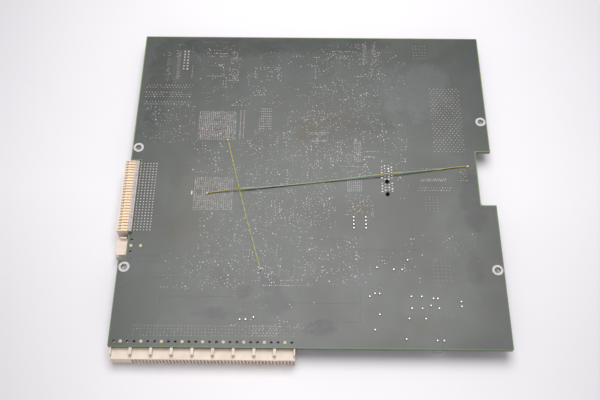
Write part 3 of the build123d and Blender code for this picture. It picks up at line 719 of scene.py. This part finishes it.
# %% Other fields
quiet_holes = (
    grid(199.8, 134.4, 8, 29, 2.6, 1.8, shift=1.3, size=1.25)
    + grid(193.2, 43.2, 5, 6, 2.5, 2.4, size=0.8)
    + grid(191.4, 90.3, 4, 6, 2.5, 2.0, size=0.8)
    + grid(190.3, 211.2, 5, 5, 2.1, 2.7, size=0.95)
    + grid(41.4, 224.0, 6, 1, 1.5, 1.0, size=0.7)
    + grid(56.0, 224.0, 3, 1, 1.4, 1.0, size=0.7)
    + grid(21.3, 222.4, 4, 1, 1.5, 1.0, size=0.7)
)
ring_holes = (
    grid(79.0, 190.2, 2, 9, 1.3, 1.4, kept=0.65, wander=0.3)
    + grid(81.4, 200.6, 10, 2, 1.6, 1.5, shift=0.8, kept=0.5, wander=0.3)
    + grid(95.6, 191.0, 2, 8, 1.5, 1.4, kept=0.6, wander=0.3)
    + grid(82.0, 190.0, 9, 2, 1.6, 1.3, shift=0.8, kept=0.5, wander=0.3)
    + grid(83.0, 195.0, 7, 3, 1.9, 1.8, shift=0.9, kept=0.25, wander=0.4)
    + grid(78.0, 178.5, 6, 5, 1.7, 1.9, shift=0.8, kept=0.45, wander=0.4)
    + grid(133.0, 211.0, 9, 2, 1.5, 6.0, kept=0.7, wander=0.4)
    + grid(135.6, 126.8, 2, 9, 1.9, 1.75, shift=0.5, kept=0.85, wander=0.2)
    + grid(41.7, 101.1, 1, 4, 1.0, 0.7, size=1.5)
    + [(45.3, 151.0, 1.4), (48.5, 150.2, 1.4), (52.2, 146.2, 1.5)]
    + [(57.5, 147.2, 1.6), (61.5, 147.2, 1.4)]
)
front_field = (
    grid(14.3, 7.1, 41, 4, 2.0, 1.97, size=0.75, kept=0.92, wander=0.08)
    + grid(84.0, 7.4, 8, 5, 1.9, 1.5, shift=0.9, size=0.95, kept=0.95)
    + grid(96.5, 7.1, 7, 4, 2.0, 1.97, size=0.6, kept=0.7)
)
print("other fields", [len(field) for field in (quiet_holes, ring_holes, front_field)], "holes")


# %% [markdown]
# ## Holes between the chips
# Between the chips a signal changes layers wherever its trace has to cross another, so single holes
# and short rows lie everywhere, closer in some districts than in others. No rule places them, and
# typing them all would take days. So each district is a box and a number of tries, and every try
# draws a place on the designer's lattice, a direction and a length for its row.

# %% Districts
lattice = 0.635  # millimetres
least_gap = 1.4


def short_runs(low, high, count):
    """Holes inside one district, most of them alone and some in short rows, on the lattice."""
    points = []
    taken = set()
    columns, rows = [int((high[axis] - low[axis]) / lattice) + 1 for axis in (0, 1)]
    steps = ((1.9, 0), (0, 1.9), (2.54, 0), (0, 2.54), (1.9, 1.27), (1.27, -1.9))
    for _ in range(count):
        x = low[0] + lattice * chance.randrange(columns)
        y = low[1] + lattice * chance.randrange(rows)
        step_x, step_y = chance.choice(steps)
        size = chance.choice((0.75, 0.85, 0.95, 1.3))
        for index in range(chance.choice((1, 1, 1, 1, 1, 2, 2, 3, 4))):
            px = x + index * step_x
            py = y + index * step_y
            place = (round(px / least_gap), round(py / least_gap))
            if place not in taken and low[0] <= px <= high[0] and low[1] <= py <= high[1]:
                taken.add(place)
                points.append((px, py, size))
    return points


districts = (
    ((76, 78), (135, 128), 340), ((76, 40), (122, 78), 150), ((118, 40), (152, 72), 110),
    ((100, 128), (135, 166), 170), ((76, 166), (118, 216), 50), ((118, 160), (166, 223), 240),
    ((40, 170), (76, 222), 90), ((6, 140), (40, 170), 90), ((136, 112), (182, 160), 170),
    ((166, 96), (182, 124), 20), ((140, 86), (158, 102), 60), ((26, 36), (76, 60), 90),
    ((40, 116), (76, 141), 60), ((154, 38), (186, 62), 18), ((76, 128), (100, 150), 60),
    ((48, 60), (76, 88), 60), ((60, 6), (122, 36), 24), ((160, 172), (184, 222), 30),
    ((176, 56), (222, 76), 24), ((8, 186), (40, 222), 16),
)
loose_holes = []
for low, high, count in districts:
    loose_holes += short_runs(low, high, count)
loose_holes = without(
    loose_holes, (42, 88, 69, 115), (42, 141, 69, 169), (141, 103, 152, 113), (141, 76, 157, 87),
    (160, 98, 174, 125), (82, 150, 92, 170), (199, 133, 221, 187), (26, 199, 34, 217),
    (110, 90, 112, 130), (97, 118, 99, 160),
)
print(len(loose_holes), "loose holes in", len(districts), "districts")


# %% [markdown]
# ## What a plated hole looks like
# Most holes are covered by the mask, so they show as a faint paler ring. Some are open, and their
# tin catches the light. Each could have its own shade, but a material per hole would be thousands
# of materials. Two do it: grey lacquer that is here and there rosy with copper, and bright solder.
# Noise as wide as a few holes makes some rings fainter than others.

# %% Covered and open holes
def covered_finish():
    """Lacquer over a ring of copper: grey, rosy in places, and fainter in others."""
    finish = Finish("mask_over_copper", IOR=1.37)
    rosy = finish.noise(9, 2.0).above(0.52, 0.12)
    strength = finish.noise(2.6, 2.0).above(0.5, 0.35)
    ring = finish.blend(rosy, (0.42, 0.41, 0.4, 1), (0.46, 0.37, 0.35, 1))
    colour = finish.blend(strength, (0.24, 0.235, 0.228, 1), ring)
    return finish.done(colour, 0.3)


def solder_finish():
    """Solder and tin on open holes: nearly white, greyer where it has dulled."""
    finish = Finish("bright_solder", Metallic=0.3)
    dulled = finish.noise(2.2, 2.0).above(0.5, 0.4)
    finish.bump(finish.noise(0.5, 2.0), 0.02)
    colour = finish.blend(dulled, (0.82, 0.8, 0.8, 1), (0.5, 0.48, 0.48, 1))
    return finish.done(colour, 0.4 + dulled * 0.2)


covered = covered_finish()
solder = solder_finish()
dress(solder, "stacking_pins")


# %% [markdown]
# ## Holes on the solder side
# A ring is only a few hundredths of a millimetre high, just enough to lie over the mask, and six
# sides are round enough at this size. Every third hole of the line drivers is open, and about a
# third of the loose ones. Which of those could be noted one by one, but no rule shows in them, so
# they are drawn at random.

# %% Solder side
open_share = 0.34
ring_height = 0.03  # millimetres
ring_sides = 6
open_loose = [point for point in loose_holes if chance.random() < open_share]
covered_loose = [point for point in loose_holes if point not in open_loose]
open_holes = driver_holes[::3] + ring_holes + open_loose
dull_holes = [point for index, point in enumerate(driver_holes) if index % 3]
dull_holes += quiet_holes + covered_loose
grid_holes = ball_holes + front_field
stamped("array_via_rings", array_holes, 0.33, ring_height, ring_sides, covered, "laminate")
stamped("ball_via_rings", grid_holes, 0.36, ring_height, ring_sides, covered, "laminate")
stamped("open_vias", open_holes, 0.235, 0.035, ring_sides, solder, "tin")
stamped("covered_vias", dull_holes, 0.28, ring_height, ring_sides, covered, "laminate")


# %% [markdown]
# ## Holes on the component side
# A plated hole goes right through, so those between the chips show on the component side too. They
# could be one long barrel each, but the inside of the board is never seen. The same points are
# stamped a second time, lower by the board's thickness, and there the drivers' rows are the open
# ones.

# %% Component side
thickness = (face - corner.z) * 1000
small_ring = (0.28, ring_height, ring_sides)
through_holes = loose_holes + ring_holes
row_holes = driver_holes + quiet_holes
drop = thickness + ring_height
stamped("component_side_vias", through_holes, *small_ring, covered, "laminate", drop)
stamped("component_side_rows", row_holes, *small_ring, solder, "tin", drop)


# %% [markdown]
# ## Traces under the mask
# Here and there a long copper trace shows through the lacquer as a thin line, a shade darker or
# redder than what lies round it. Curves with a bevel could draw them. Traces are straight and run
# square or at 45 degrees, so plain boxes between the corners of each run are simpler and lighter.

# %% Strips along runs
box_faces = ((3, 2, 1, 0), (4, 5, 6, 7), (0, 1, 5, 4), (1, 2, 6, 5), (2, 3, 7, 6), (3, 0, 4, 7))


def strips(name, runs, width, height, material):
    """Low strips along runs of (x, y) corners, as one piece; width and height in millimetres."""
    vertices = []
    faces = []
    for run in runs:
        for (x0, y0), (x1, y1) in zip(run, run[1:]):
            along = Vector((x1 - x0, y1 - y0)).normalized() * width / 2
            side = Vector((-along.y, along.x))
            first = len(vertices)
            for rise in (0, height):
                vertices += [
                    spot(x0 - along.x + side.x, y0 - along.y + side.y, rise),
                    spot(x0 - along.x - side.x, y0 - along.y - side.y, rise),
                    spot(x1 + along.x - side.x, y1 + along.y - side.y, rise),
                    spot(x1 + along.x + side.x, y1 + along.y + side.y, rise),
                ]
            faces += [[first + index for index in loop] for loop in box_faces]
    mesh = bpy.data.meshes.new(name)
    mesh.from_pydata(vertices, [], faces)
    mesh.materials.append(material)
    holder = bpy.data.objects.new(name, mesh)
    stage.collection.objects.link(holder)
    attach(holder, "root")
    print(name, len(runs), "runs,", len(faces), "faces")


def trace_finish(name, colour, other):
    """Lacquer over a trace: the mask's own gloss on a slightly different, fading colour."""
    finish = Finish(name, IOR=1.415)
    fade = finish.noise(12, 2.0).above(0.5, 0.4)
    return finish.done(finish.blend(fade, colour, other), 0.3 + fade * 0.05)


trace_height = 0.012
dark_runs = (
    ((27.8, 25.0), (27.8, 31.5), (72.2, 31.5)),
    ((76.2, 27.8), (147.9, 27.8), (147.9, 38.0)),
    ((121.1, 16.3), (147.6, 16.3), (147.6, 23.4)),
    ((148.8, 62.9), (186.1, 62.9)),
    ((182.0, 63.0), (182.0, 82.2)),
    ((22.1, 43.4), (81.7, 43.4)),
    ((10.9, 53.8), (24.0, 53.8)),
    ((12.0, 58.3), (25.3, 58.3)),
    ((60.0, 20.5), (84.0, 20.5)),
)
red_runs = (
    ((112.1, 6.6), (172.7, 6.6)),
    ((110.5, 168.7), (140.1, 168.7)),
    ((110.5, 166.9), (150.0, 166.9)),
    ((112.3, 165.0), (159.1, 165.0)),
    ((35.5, 124.5), (40.0, 124.5)),
    ((131.5, 155.0), (131.5, 158.0), (146.0, 158.0)),
)
dark_trace = trace_finish("dark_trace", (0.03, 0.034, 0.03, 1), (0.055, 0.06, 0.055, 1))
red_trace = trace_finish("red_trace", (0.13, 0.085, 0.07, 1), (0.09, 0.08, 0.07, 1))
strips("dark_traces", dark_runs, 0.25, trace_height, dark_trace)
strips("red_traces", red_runs, 0.28, trace_height, red_trace)


# %% [markdown]
# ## Solder round the pins
# A pin that comes through the board stands in a low mound of solder. The signal connector's 150
# tails are pressed in and get only a narrow dull collar. A turned profile would give a rounder
# mound, but these are under a third of a millimetre high, so the stamping tree makes them too,
# with more sides and more height. Their places are measured on the solid pins.

# %% Collars and mounds
collar = moulded("dull_collar", (0.2, 0.2, 0.2, 1), (0.12, 0.12, 0.12, 1), 0.45)
tail_rows = 25
tail_columns = 6
tail_start = 7.5  # millimetres
tail_pitch = 2.0
tail_half = 0.0003  # metres, as the measured boxes are
pin_half = 0.00025
tail_low, tail_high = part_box("signal_tails")
row_step = (tail_high.y - tail_low.y - 2 * tail_half) / (tail_rows - 1)
tail_places = [
    (tail_start + tail_pitch * column,
     (tail_low.y + tail_half + row_step * row - corner.y) * 1000, 1.0)
    for row in range(tail_rows)
    for column in range(tail_columns)
]
stamped("tail_collars", tail_places, 0.6, 0.1, 8, collar, "tin")
header_places = grid(28.83, 200.18, 2, 7, 2.54, 2.54)
stamped("header_mounds", header_places, 0.75, 0.3, 10, covered, "tin")
stack_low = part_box("stacking_pins")[0]
left = (stack_low.x + pin_half - corner.x) * 1000
front = (stack_low.y + pin_half - corner.y) * 1000
stack_places = without(
    grid(left, front, 2, 10, 6.5, 2.0) + grid(left + 2.05, front + 1.0, 2, 10, 2.4, 2.0),
    (left - 1, front + 6.3, left + 8, front + 8.5),
)
stamped("stacking_mounds", stack_places, 0.5, 0.2, 8, solder, "tin")


# %% [markdown]
# ## The route of a wire
# A repair wire goes from one joint to another in easy bends, because it is springy. Its route could
# be a chain of straight lines, but a smooth curve over a few points bends as a wire does, and each
# point can be moved alone. The curve is turned into points that lie half a millimetre apart, so
# that what is wound round it later has even steps.

# %% Smooth line and even steps
def smooth_line(name, points):
    """The points of a smooth curve whose control points are the route's."""
    data = bpy.data.curves.new(name, "CURVE")
    data.dimensions = "3D"
    data.resolution_u = 40
    spline = data.splines.new("NURBS")
    spline.points.add(len(points) - 1)
    for knot, point in zip(spline.points, points):
        knot.co = (*point, 1)
    spline.order_u = 3
    spline.use_endpoint_u = True
    holder = bpy.data.objects.new(name, data)
    stage.collection.objects.link(holder)
    graph = bpy.context.evaluated_depsgraph_get()
    mesh = bpy.data.meshes.new_from_object(holder.evaluated_get(graph))
    line = [vertex.co.copy() for vertex in mesh.vertices]
    bpy.data.objects.remove(holder)
    print(name, "route with", len(points), "control points")
    return line


def evenly(line, step):
    """The same line with points one step apart."""
    points = [line[0].copy()]
    left = step
    for start, end in zip(line, line[1:]):
        length = (end - start).length
        done = 0.0
        while length - done > left:
            done += left
            points.append(start.lerp(end, done / length))
            left = step
        left -= length - done
    points.append(line[-1].copy())
    return points


# %% [markdown]
# ## Twisting two wires
# Each repair is a pair of thin wires, twisted together so that they pick up less noise. One tube
# with a striped material would look the same from afar, but a real pair throws a beaded outline and
# shadow. So both wires wind round the route in a helix, ring by ring, half a turn apart. The twist
# is uneven, as a hand leaves it, and is given as marks: so many turns after so many millimetres.
# A count that falls winds the other way.

# %% Twisted pair
pair_lift = 0.56  # millimetres above the solder side
pair_thick = 0.00095  # metres, as is the step
ring_step = 0.0005
tube_sides = 7


def turned(walked, twist):
    """How many turns the pair has made after so many millimetres, from the twist's marks."""
    for (near, before), (far, after) in zip(twist, twist[1:]):
        if walked <= far:
            return before + (after - before) * (walked - near) / (far - near)
    return twist[-1][1]


def twisted_pair(name, route, twist, materials):
    """Two insulated wires wound round the route; at a quarter turn the first is on top."""
    knots = [spot(x, y, pair_lift + rise) for x, y, rise in route]
    line = evenly(smooth_line(name, knots), ring_step)
    vertices = []
    faces = []
    kinds = []
    radius = pair_thick / 4
    for strand in range(2):
        walked = 0.0
        first = len(vertices)
        for index, centre in enumerate(line):
            ahead = line[min(index + 1, len(line) - 1)] - line[max(index - 1, 0)]
            ahead.normalize()
            across = ahead.cross(Vector((0, 0, 1))).normalized()
            upward = across.cross(ahead)
            turn = math.tau * turned(walked * 1000, twist) + math.pi * strand
            middle = centre + (across * math.cos(turn) + upward * math.sin(turn)) * radius
            for side in range(tube_sides):
                angle = math.tau * side / tube_sides
                out = across * math.cos(angle) + upward * math.sin(angle)
                vertices.append(middle + out * radius)
            if index:
                walked += (centre - line[index - 1]).length
                low = first + (index - 1) * tube_sides
                for side in range(tube_sides):
                    near = low + side
                    beside = low + (side + 1) % tube_sides
                    faces.append((near, near + tube_sides, beside + tube_sides, beside))
                    kinds.append(strand)
        faces.append(tuple(range(first, first + tube_sides)))
        faces.append(tuple(reversed(range(len(vertices) - tube_sides, len(vertices)))))
        kinds += [strand, strand]
    mesh = bpy.data.meshes.new(name)
    mesh.from_pydata(vertices, [], faces)
    for material in materials:
        mesh.materials.append(material)
    mesh.polygons.foreach_set("material_index", kinds)
    mesh.polygons.foreach_set("use_smooth", [True] * len(faces))
    holder = bpy.data.objects.new(name, mesh)
    stage.collection.objects.link(holder)
    print(name, "length", round(walked * 1000, 1), "mm,", len(faces), "faces")
    return holder, line, walked


# %% [markdown]
# ## The two repair wires
# One wire of each pair is green and one yellow, thinly insulated and a little worn. The long pair
# starts in a chip's field, climbs over the short one and over the stacking pins, and lies on the
# board between. The routes could be taken from the plain tubes of the solid model, but a list of
# points, each with its rise, is easier to bend. Each pair stands in for its tube, which is hidden.

# %% Repair wires
def insulation(name, clear, worn):
    """Thin enamel-like insulation: glossy, a little uneven in colour along the wire."""
    finish = Finish(name, IOR=1.5)
    wear = finish.noise(4, 3.0).above(0.52, 0.2)
    finish.bump(finish.noise(0.6, 2.0), 0.01)
    return finish.done(finish.blend(wear, clear, worn), 0.36 + wear * 0.16)


green_wire = insulation("green_insulation", (0.22, 0.43, 0.26, 1), (0.36, 0.5, 0.32, 1))
yellow_wire = insulation("yellow_insulation", (0.52, 0.4, 0.04, 1), (0.36, 0.27, 0.05, 1))
long_route = (
    (52.3, 101.6, 0), (60.0, 102.9, 0), (72.1, 104.4, 1.5), (95.6, 106.8, 0), (130.0, 111.0, 0),
    (168.0, 116.2, 1.9), (198.0, 119.9, 0), (212.0, 122.3, 0), (219.6, 122.9, 0),
)
short_route = (
    (63.0, 141.1, 0), (65.6, 131.4, 0), (69.5, 115.3, 0.1), (75.5, 91.6, 0), (80.6, 73.5, 0.1),
    (84.6, 58.6, 0), (87.2, 50.3, 0),
)
long_twist = (
    (0, 0.7), (18, 0.8), (30, 1.15), (66, 1.3), (104, 1.2), (111, 1.7), (119, 1.8), (126, 2.15),
    (148, 2.3), (155, 2.7), (170, 2.8),
)
short_twist = ((0, 0.85), (40, -5.4), (95, -10.4))
for node, route, twist in (
    ("repair_wire_long", long_route, long_twist),
    ("repair_wire_short", short_route, short_twist),
):
    pair, line, length = twisted_pair(node + "_pair", route, twist, (green_wire, yellow_wire))
    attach(pair, "root")
    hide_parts(node)


# %% [markdown]
# ## The paper that it lies on
# The floor is white paper with a trace of tooth. A curved backdrop is usual behind a product, but
# the camera looks down, so a flat plane is enough. The paper gets darker away from the light. A
# third lamp could do that, but a formula on the floor's own coordinates leaves the board alone: it
# darkens to both sides, most of all in front, and a little towards the back.

# %% Floor
def paper_finish():
    """White paper with a trace of tooth, darker away from the light."""
    finish = Finish("white_paper", IOR=1.4)
    tooth = finish.noise(40, 2.0)
    x = finish.axis(0)
    y = finish.axis(1)
    away = (x * x * (y.least(0.0) * -20 + 3.9) + y.most(0.0) * 0.5).least(0.3)
    paper = finish.blend(tooth, (0.83, 0.825, 0.85, 1), (0.85, 0.845, 0.87, 1))
    return finish.done(finish.blend(away, paper, (0.0, 0.0, 0.01, 1)), 0.75)


bpy.ops.mesh.primitive_plane_add(size=6, location=(0, 0, -0.0002))
floor = bpy.context.object
floor.name = "paper_floor"
floor.data.materials.append(paper_finish())
print("floor", [round(side, 1) for side in floor.dimensions[:2]], "m")


# %% [markdown]
# ## The end
